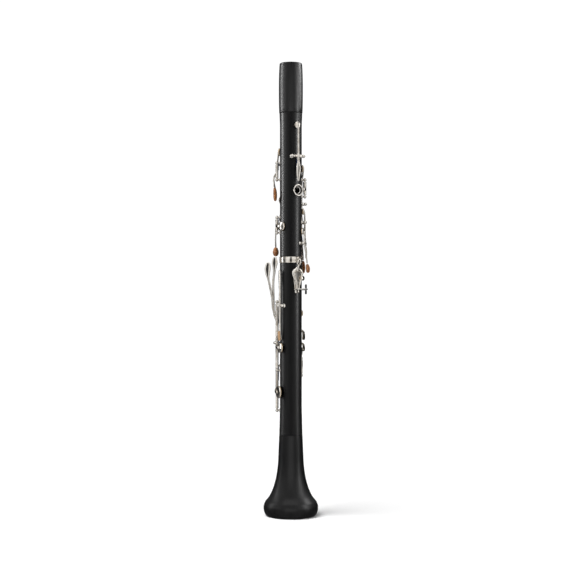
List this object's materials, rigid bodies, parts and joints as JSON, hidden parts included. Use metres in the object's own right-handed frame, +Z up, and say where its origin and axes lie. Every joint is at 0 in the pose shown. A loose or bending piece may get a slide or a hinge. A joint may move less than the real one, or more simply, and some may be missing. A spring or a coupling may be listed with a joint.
{
  "type": "soprano clarinet",
  "caption": "Straight soprano clarinet in black with silver keywork and wooden touches, standing on its bell, without a mouthpiece.",
  "frame": {"origin": "centre of the bell rim's foot plane, on the bore axis", "axes": "+Z up the bore from bell to barrel, -Y towards the finger holes, +X towards the player's left hand side"},
  "size_m": [0.072, 0.072, 0.595],
  "materials": {
    "black_wood": "satin black with fine grain",
    "silver_plate": "polished silver plate",
    "touch_wood": "oiled reddish brown wood",
    "cork": "matte cork",
    "black_stud": "matte black",
    "pad_skin": "tan pad skin",
    "spring_steel": "blued spring steel"
  },
  "bodies": {
    "body": {"bell": "black_wood", "bell_tenon_cork": "cork", "c_sharp_axle": "silver_plate", "cross_axle": "silver_plate", "f_axle": "silver_plate", "fork_axle": "silver_plate", "left_e_axle": "silver_plate", "left_f_axle": "silver_plate", "left_f_sharp_axle": "silver_plate", "lower_joint": "black_wood", "lower_stack_axle": "silver_plate", "middle_tenon_cork": "cork", "register_axle": "silver_plate", "register_tube": "silver_plate", "right_pinky_axle": "silver_plate", "side_3_axle": "silver_plate", "side_4_axle": "silver_plate", "socket_ring": "silver_plate", "throat_a_axle": "silver_plate", "throat_g_sharp_axle": "silver_plate", "thumb_rest_base": "silver_plate", "thumb_ring_axle": "silver_plate", "thumb_tube": "silver_plate", "top_tenon_cork": "cork", "trill_axle": "silver_plate", "upper_joint": "black_wood", "upper_stack_axle": "silver_plate"},
    "register_key": {"register_key": "silver_plate"},
    "thumb_ring_key": {"thumb_ring_key": "silver_plate"},
    "throat_a_key": {"throat_a_key": "silver_plate"},
    "throat_g_sharp_key": {"throat_g_sharp_key": "silver_plate", "throat_g_sharp_touch": "touch_wood"},
    "upper_ring_key": {"upper_ring_key": "silver_plate"},
    "middle_ring_key": {"middle_ring_key": "silver_plate"},
    "cross_key": {"cross_key": "silver_plate"},
    "c_sharp_key": {"c_sharp_key": "silver_plate", "c_sharp_touch": "touch_wood"},
    "side_key_1": {"side_key_1": "silver_plate", "side_touch_1": "touch_wood"},
    "side_key_2": {"side_key_2": "silver_plate", "side_touch_2": "touch_wood"},
    "side_key_3": {"side_key_3": "silver_plate", "side_touch_3": "silver_plate"},
    "side_key_4": {"side_key_4": "silver_plate", "side_touch_4": "touch_wood"},
    "lower_ring_key": {"lower_ring_key": "silver_plate"},
    "fork_key": {"fork_key": "silver_plate"},
    "a_flat_key": {"a_flat_key": "silver_plate"},
    "f_key": {"f_key": "silver_plate"},
    "e_key": {"e_key": "silver_plate"},
    "f_sharp_key": {"f_sharp_key": "silver_plate"},
    "left_e_lever": {"left_e_lever": "silver_plate"},
    "left_f_sharp_lever": {"left_f_sharp_lever": "silver_plate"},
    "left_f_lever": {"left_f_lever": "silver_plate"},
    "right_e_key": {"right_e_key": "silver_plate"},
    "right_f_sharp_key": {"right_f_sharp_key": "silver_plate"},
    "thumb_rest_hook": {"thumb_rest_hook": "silver_plate", "thumb_rest_stud": "black_stud"},
    "thumb_rest_screw": {"thumb_rest_screw": "silver_plate"},
    "barrel": {"barrel": "black_wood"}
  },
  "joints": [
    {"name": "register_pivot", "type": "hinge", "parent": "body", "child": "register_key", "pos_m": [0, 0.0176, 0.4715], "axis": [-1, 0, 0], "range_deg": [0, 4], "stiffness_Nm_per_rad": 0.04, "springref_deg": -8.59},
    {"name": "thumb_ring_pivot", "type": "hinge", "parent": "body", "child": "thumb_ring_key", "pos_m": [-0.01543, 0.01002, 0.43], "axis": [0, 0, -1], "range_deg": [0, 6.5], "stiffness_Nm_per_rad": 0.04, "springref_deg": -8.59},
    {"name": "throat_a_pivot", "type": "hinge", "parent": "body", "child": "throat_a_key", "pos_m": [0.00248, -0.01763, 0.463], "axis": [0.9903, 0.1392, 0], "range_deg": [0, 4.5], "stiffness_Nm_per_rad": 0.04, "springref_deg": -8.59},
    {"name": "throat_g_sharp_pivot", "type": "hinge", "parent": "body", "child": "throat_g_sharp_key", "pos_m": [0.01543, -0.01002, 0.453], "axis": [0, 0, 1], "range_deg": [0, 12], "stiffness_Nm_per_rad": 0.04, "springref_deg": -8.59},
    {"name": "upper_ring_pivot", "type": "hinge", "parent": "body", "child": "upper_ring_key", "pos_m": [-0.01231, -0.01367, 0.43], "axis": [0, 0, 1], "range_deg": [0, 8.5], "stiffness_Nm_per_rad": 0.04, "springref_deg": -8.59},
    {"name": "middle_ring_pivot", "type": "hinge", "parent": "body", "child": "middle_ring_key", "pos_m": [-0.01231, -0.01367, 0.376], "axis": [0, 0, 1], "range_deg": [0, 8.5], "stiffness_Nm_per_rad": 0.04, "springref_deg": -8.59},
    {"name": "cross_pivot", "type": "hinge", "parent": "body", "child": "cross_key", "pos_m": [-0.00192, -0.0183, 0.373], "axis": [0, 0, 1], "range_deg": [0, 12], "stiffness_Nm_per_rad": 0.04, "springref_deg": -8.59},
    {"name": "c_sharp_pivot", "type": "hinge", "parent": "body", "child": "c_sharp_key", "pos_m": [0.01625, -0.00864, 0.382], "axis": [0, 0, -1], "range_deg": [0, 12], "stiffness_Nm_per_rad": 0.04, "springref_deg": -8.59},
    {"name": "side_1_pivot", "type": "hinge", "parent": "body", "child": "side_key_1", "pos_m": [-0.0173, -0.00496, 0.4102], "axis": [0.2756, -0.9613, 0], "range_deg": [0, 2.6], "stiffness_Nm_per_rad": 0.04, "springref_deg": -8.59},
    {"name": "side_2_pivot", "type": "hinge", "parent": "body", "child": "side_key_2", "pos_m": [-0.0173, -0.00496, 0.4102], "axis": [0.2756, -0.9613, 0], "range_deg": [0, 2.6], "stiffness_Nm_per_rad": 0.04, "springref_deg": -8.59},
    {"name": "side_3_pivot", "type": "hinge", "parent": "body", "child": "side_key_3", "pos_m": [-0.01701, 0.00619, 0.3855], "axis": [-0.342, -0.9397, 0], "range_deg": [0, 5], "stiffness_Nm_per_rad": 0.04, "springref_deg": -8.59},
    {"name": "side_4_pivot", "type": "hinge", "parent": "body", "child": "side_key_4", "pos_m": [-0.01257, 0.01302, 0.358], "axis": [-0.7193, -0.6947, 0], "range_deg": [0, 6], "stiffness_Nm_per_rad": 0.04, "springref_deg": -8.59},
    {"name": "lower_ring_pivot", "type": "hinge", "parent": "body", "child": "lower_ring_key", "pos_m": [-0.01133, -0.0145, 0.287], "axis": [0, 0, 1], "range_deg": [0, 9], "stiffness_Nm_per_rad": 0.04, "springref_deg": -8.59},
    {"name": "fork_pivot", "type": "hinge", "parent": "body", "child": "fork_key", "pos_m": [-0.0156, -0.00975, 0.266], "axis": [0, 0, 1], "range_deg": [0, 9], "stiffness_Nm_per_rad": 0.04, "springref_deg": -8.59},
    {"name": "a_flat_pivot", "type": "hinge", "parent": "body", "child": "a_flat_key", "pos_m": [-0.01489, -0.01082, 0.2416], "axis": [0, 0, -1], "range_deg": [0, 10], "stiffness_Nm_per_rad": 0.04, "springref_deg": -8.59},
    {"name": "f_pivot", "type": "hinge", "parent": "body", "child": "f_key", "pos_m": [-0.01812, -0.0032, 0.195], "axis": [0, 0, 1], "range_deg": [0, 6.1], "stiffness_Nm_per_rad": 0.04, "springref_deg": -8.59},
    {"name": "e_pivot", "type": "hinge", "parent": "body", "child": "e_key", "pos_m": [0.0143, -0.01158, 0.167], "axis": [0, 0, 1], "range_deg": [0, 12.5], "stiffness_Nm_per_rad": 0.04, "springref_deg": -8.59},
    {"name": "f_sharp_pivot", "type": "hinge", "parent": "body", "child": "f_sharp_key", "pos_m": [0.01681, -0.00748, 0.212], "axis": [0, 0, 1], "range_deg": [0, 13], "stiffness_Nm_per_rad": 0.04, "springref_deg": -8.59},
    {"name": "left_e_pivot", "type": "hinge", "parent": "body", "child": "left_e_lever", "pos_m": [0.0143, -0.01158, 0.235], "axis": [0, 0, 1], "range_deg": [0, 12.5], "stiffness_Nm_per_rad": 0.04, "springref_deg": -8.59},
    {"name": "left_f_sharp_pivot", "type": "hinge", "parent": "body", "child": "left_f_sharp_lever", "pos_m": [0.01681, -0.00748, 0.257], "axis": [0, 0, 1], "range_deg": [0, 13], "stiffness_Nm_per_rad": 0.04, "springref_deg": -8.59},
    {"name": "left_f_pivot", "type": "hinge", "parent": "body", "child": "left_f_lever", "pos_m": [0.0175, 0.00184, 0.276], "axis": [0.1045, -0.9945, 0], "range_deg": [0, 2.8], "stiffness_Nm_per_rad": 0.04, "springref_deg": -8.59},
    {"name": "right_e_pivot", "type": "hinge", "parent": "body", "child": "right_e_key", "pos_m": [-0.01489, -0.01082, 0.22], "axis": [0, 0, -1], "range_deg": [0, 4.4], "stiffness_Nm_per_rad": 0.04, "springref_deg": -8.59},
    {"name": "right_f_sharp_pivot", "type": "hinge", "parent": "body", "child": "right_f_sharp_key", "pos_m": [-0.01489, -0.01082, 0.233], "axis": [0, 0, -1], "range_deg": [0, 4.6], "stiffness_Nm_per_rad": 0.04, "springref_deg": -8.59},
    {"name": "thumb_rest_slide", "type": "slide", "parent": "body", "child": "thumb_rest_hook", "axis": [0, 0, 1], "range_m": [-0.003, 0.003]},
    {"name": "thumb_screw_turn", "type": "hinge", "parent": "thumb_rest_hook", "child": "thumb_rest_screw", "pos_m": [-0.00579, 0.02019, 0.312], "axis": [-0.2756, 0.9613, 0], "range_deg": [0, 360]},
    {"name": "tuning_slide", "type": "slide", "parent": "body", "child": "barrel", "axis": [0, 0, 1], "range_m": [0, 0.002]}
  ],
  "couplings": [
    {"joint": "upper_ring_pivot", "follows": "thumb_ring_pivot", "ratio": 1.3077},
    {"joint": "middle_ring_pivot", "follows": "lower_ring_pivot", "ratio": 0.94444},
    {"joint": "e_pivot", "follows": "left_e_pivot", "ratio": 1},
    {"joint": "right_e_pivot", "follows": "left_e_pivot", "ratio": 0.35165},
    {"joint": "f_sharp_pivot", "follows": "left_f_sharp_pivot", "ratio": 1},
    {"joint": "right_f_sharp_pivot", "follows": "left_f_sharp_pivot", "ratio": 0.35349},
    {"joint": "left_f_pivot", "follows": "f_pivot", "ratio": 0.45856}
  ]
}
